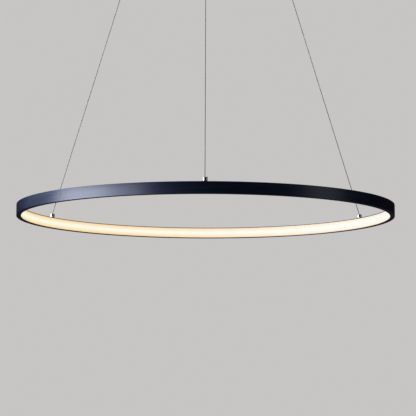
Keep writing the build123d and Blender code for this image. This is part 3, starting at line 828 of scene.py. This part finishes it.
floor_paint = finish("floor", {"Specular IOR Level": 0.2})
speckle = noise(floor_paint, (6.0, 6.0, 6.0), 3.0)
colour_by(floor_paint, speckle, (0.78, 0.775, 0.77), (0.82, 0.815, 0.81))
rough_by(floor_paint, speckle, 0.7, 0.8)
tree = floor_paint.node_tree
clear = put(tree, "ShaderNodeBsdfTransparent").outputs[0]
under = put(tree, "ShaderNodeNewGeometry").outputs["Backfacing"]
one_sided = put(tree, "ShaderNodeMixShader", {
    0: under, 1: tree.nodes["Principled BSDF"].outputs[0], 2: clear})
tree.links.new(one_sided.outputs[0], tree.nodes["Material Output"].inputs["Surface"])
floor_level = -2.4
reach = 20.0
sheet("floor", [(x * reach, y * reach, floor_level) for x, y in ((-1, -1), (1, -1), (1, 1), (-1, 1))],
      [(0, 1, 2, 3)], floor_paint)

wall_paint = finish("dark studio wall", {"Specular IOR Level": 0.0})
felt = noise(wall_paint, (30.0, 30.0, 30.0), 3.0)
colour_by(wall_paint, felt, (0.010, 0.010, 0.011), (0.014, 0.014, 0.015))
rough_by(wall_paint, felt, 0.9, 1.0)
wall_radius = 5.0
wall_top = 4.4
wall_steps = 48
wall_turns = [math.tau * i / wall_steps for i in range(wall_steps)]
wall_line = [(wall_radius * math.cos(turn), wall_radius * math.sin(turn)) for turn in wall_turns]
wall_corners = [(x, y, level) for x, y in wall_line for level in (floor_level, wall_top)]
wall_faces = [tuple((2 * i + k) % len(wall_corners) for k in (0, 1, 3, 2)) for i in range(wall_steps)]
walls = sheet("studio_walls", wall_corners, wall_faces, wall_paint)

cloth_paint = finish("grey studio cloth", {"Specular IOR Level": 0.0})
weave = noise(cloth_paint, (30.0, 30.0, 30.0), 3.0)
colour_by(cloth_paint, weave, (0.09, 0.09, 0.09), (0.11, 0.11, 0.11))
rough_by(cloth_paint, weave, 0.9, 1.0)
cloth_level = floor_level + 0.01
cloth = sheet("studio_cloth", [(x, y, cloth_level) for x, y in wall_line],
              [tuple(range(wall_steps))], cloth_paint)
cloth.visible_shadow = False
for drape in (walls, cloth):
    drape.visible_camera = False
    drape.visible_diffuse = False


def soft_light(name, centre, target, width, height, power):
    """Rectangular soft light aimed at a point."""
    lamp = bpy.data.lights.new(name, "AREA")
    lamp.shape = "RECTANGLE"
    lamp.size = width
    lamp.size_y = height
    lamp.energy = power
    holder = bpy.data.objects.new(name, lamp)
    bpy.context.collection.objects.link(holder)
    holder.visible_camera = False
    aim = Vector(target) - Vector(centre)
    holder.matrix_world = Matrix.Translation(centre) @ aim.to_track_quat("-Z", "Y").to_matrix().to_4x4()


ring_centre = (0.0, 0.0, hoop_level)
soft_light("left_softbox", (-3.3, -0.93, -0.72), ring_centre, 2.2, 1.5, 55.0)
soft_light("left_fill", (-2.64, -2.45, -0.72), ring_centre, 1.4, 1.5, 14.5)
soft_light("left_rear_softbox", (-3.1, 1.3, -0.72), ring_centre, 2.0, 1.5, 2.3)
soft_light("left_high_softbox", (-2.3, 1.7, 0.9), ring_centre, 2.6, 1.8, 34.0)
soft_light("right_softbox", (3.0, -1.1, -0.5), ring_centre, 1.3, 2.0, 2.5)
soft_light("overhead_softbox", (0.0, 0.6, 3.2), ring_centre, 4.5, 4.5, 30.0)

# Camera: a long lens, four metres from the ring and about seven degrees below it, looking up. Its
# place and its turn follow the edges of the hoop in the photograph.
camera_distance = 4.0
camera_below = math.radians(6.973)
camera_turn = math.radians(0.18)
aim_side = math.radians(0.074)
aim_up = math.radians(7.112)
camera_roll = math.radians(0.124)
swing = Matrix.Rotation(camera_turn, 3, "Z")
stand = Vector(ring_centre) + swing @ Vector(
    (0.0, -camera_distance * math.cos(camera_below), -camera_distance * math.sin(camera_below)))
forward = swing @ Vector(
    (math.sin(aim_side) * math.cos(aim_up), math.cos(aim_side) * math.cos(aim_up), math.sin(aim_up)))
right = forward.cross(Vector((0, 0, 1))).normalized()
up = right.cross(forward)
camera_x = right * math.cos(camera_roll) + up * math.sin(camera_roll)
camera_y = up * math.cos(camera_roll) - right * math.sin(camera_roll)
lens = bpy.data.cameras.new("camera")
lens.sensor_width = 36.0
lens.lens = 163.0
camera = bpy.data.objects.new("camera", lens)
bpy.context.collection.objects.link(camera)
facing = Matrix((camera_x, camera_y, -forward)).transposed()
camera.matrix_world = Matrix.Translation(stand) @ facing.to_4x4()
bpy.context.scene.camera = camera
bpy.context.scene.view_settings.view_transform = "Standard"
